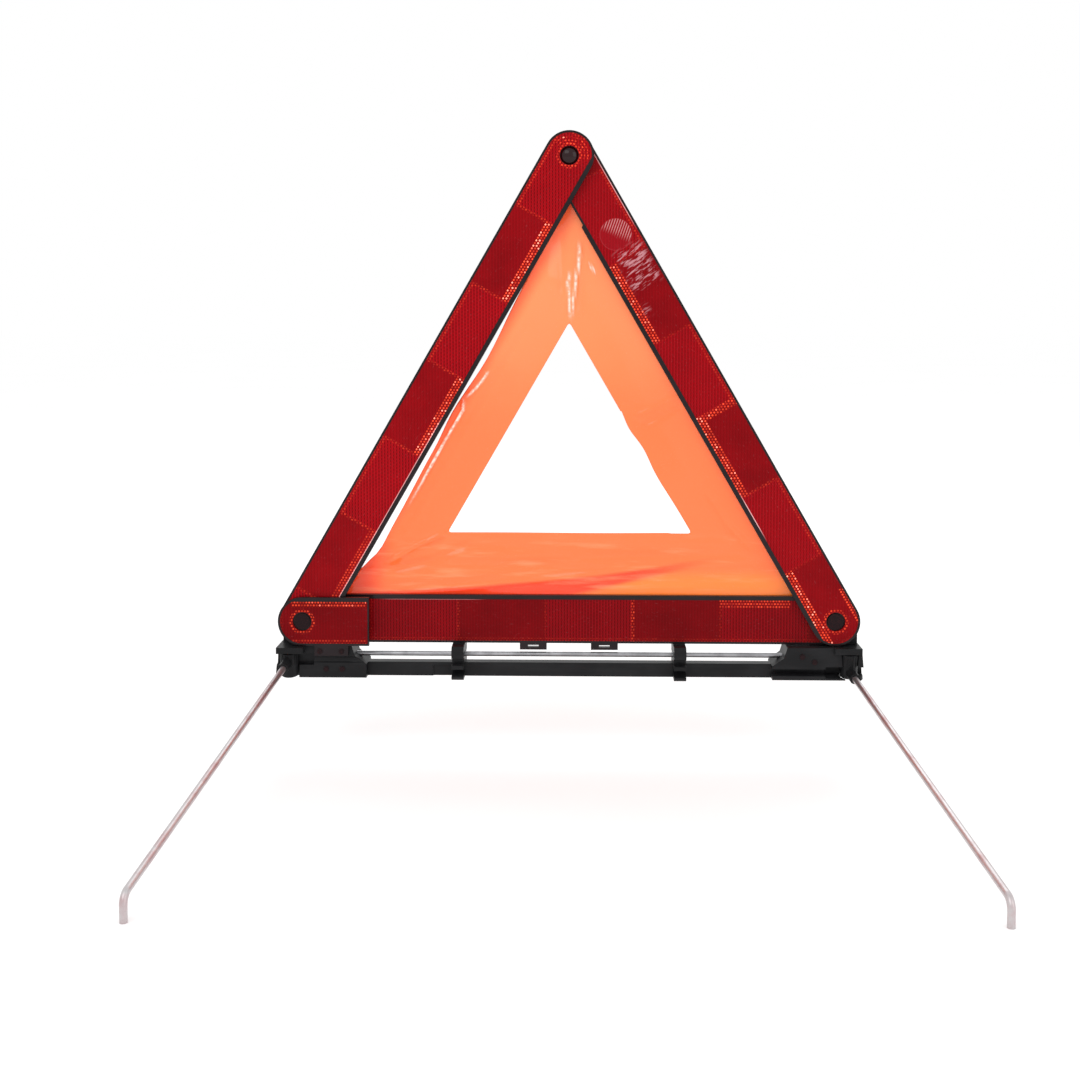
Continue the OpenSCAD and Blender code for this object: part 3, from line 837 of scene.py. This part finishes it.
def softbox(name, place, aim, size, power):
    """A rectangular area light at a place, turned to face a point."""
    bpy.ops.object.light_add(type="AREA", location=place)
    lamp = bpy.context.object
    lamp.name = name
    lamp.rotation_euler = (Vector(aim) - Vector(place)).to_track_quat("-Z", "Y").to_euler()
    lamp.data.shape = "RECTANGLE"
    lamp.data.size, lamp.data.size_y = size
    lamp.data.energy = power


class TRIANGLE_OT_stage(Operator):
    """Set up the floor, the soft studio light and the camera"""
    bl_idname = "triangle.stage"
    bl_label = "Studio"

    def execute(self, context):
        settings = context.scene.triangle_stage
        bpy.ops.object.select_all(action="DESELECT")
        bpy.ops.mesh.primitive_plane_add(size=40, location=(0, 10, 0))
        floor = context.object
        floor.name = "floor"
        bpy.ops.object.transform_apply(location=True, rotation=True, scale=True)
        floor.data.materials.append(floor_finish(tuple(settings.floor)))

        target = (0, 0, CENTRE_Z)
        softbox("key", (-0.9, -1.7, 1.9), target, (1.6, 1.2), settings.key_power)
        softbox("fill", (1.5, -1.3, 0.9), target, (1.0, 1.4), settings.key_power * 0.45)
        softbox("back", (0.3, 1.6, 1.7), target, (1.8, 1.0), settings.key_power * 0.8)

        world = bpy.data.worlds.new("studio")
        world.use_nodes = True
        shade = world.node_tree.nodes["Background"]
        shade.inputs["Color"].default_value = (1, 1, 1, 1)
        shade.inputs["Strength"].default_value = 1.0
        context.scene.world = world
        context.scene.view_settings.view_transform = "Standard"

        bpy.ops.object.camera_add(location=tuple(settings.eye),
                                  rotation=[math.radians(a) for a in CAMERA_TURN])
        camera = context.object
        camera.name = "studio_camera"
        camera.data.lens = settings.lens
        camera.data.sensor_width = 36
        camera.data.shift_x, camera.data.shift_y = CAMERA_SHIFT
        context.scene.camera = camera
        return {"FINISHED"}


class TRIANGLE_PT_panel(Panel):
    """Lists the steps of the warning triangle"""
    bl_idname = "TRIANGLE_PT_panel"
    bl_label = "Warning triangle"
    bl_space_type = "VIEW_3D"
    bl_region_type = "UI"
    bl_category = "Warning triangle"

    def draw(self, context):
        for name, group in SETTINGS.items():
            box = self.layout.box()
            for prop in group.__annotations__:
                box.prop(getattr(context.scene, name), prop)
        for step in STEPS:
            self.layout.operator(step.bl_idname)


SETTINGS = {
    "triangle_lenses": LensSettings, "triangle_plastics": PlasticSettings, "triangle_metals": MetalSettings,
    "triangle_film": FilmSettings, "triangle_stage": StageSettings,
}
STEPS = (
    TRIANGLE_OT_stage, TRIANGLE_OT_lenses, TRIANGLE_OT_carriers, TRIANGLE_OT_base, TRIANGLE_OT_rivets,
    TRIANGLE_OT_button, TRIANGLE_OT_legs, TRIANGLE_OT_fittings, TRIANGLE_OT_film,
)


def register():
    for cls in (*SETTINGS.values(), *STEPS, TRIANGLE_PT_panel):
        bpy.utils.register_class(cls)
    for name, group in SETTINGS.items():
        setattr(bpy.types.Scene, name, PointerProperty(type=group))


def unregister():
    for name in SETTINGS:
        delattr(bpy.types.Scene, name)
    for cls in (TRIANGLE_PT_panel, *reversed(STEPS), *reversed(tuple(SETTINGS.values()))):
        bpy.utils.unregister_class(cls)


def main():
    register()
    for step in STEPS:
        group, name = step.bl_idname.split(".")
        getattr(getattr(bpy.ops, group), name)()


if __name__ == "__main__":
    main()
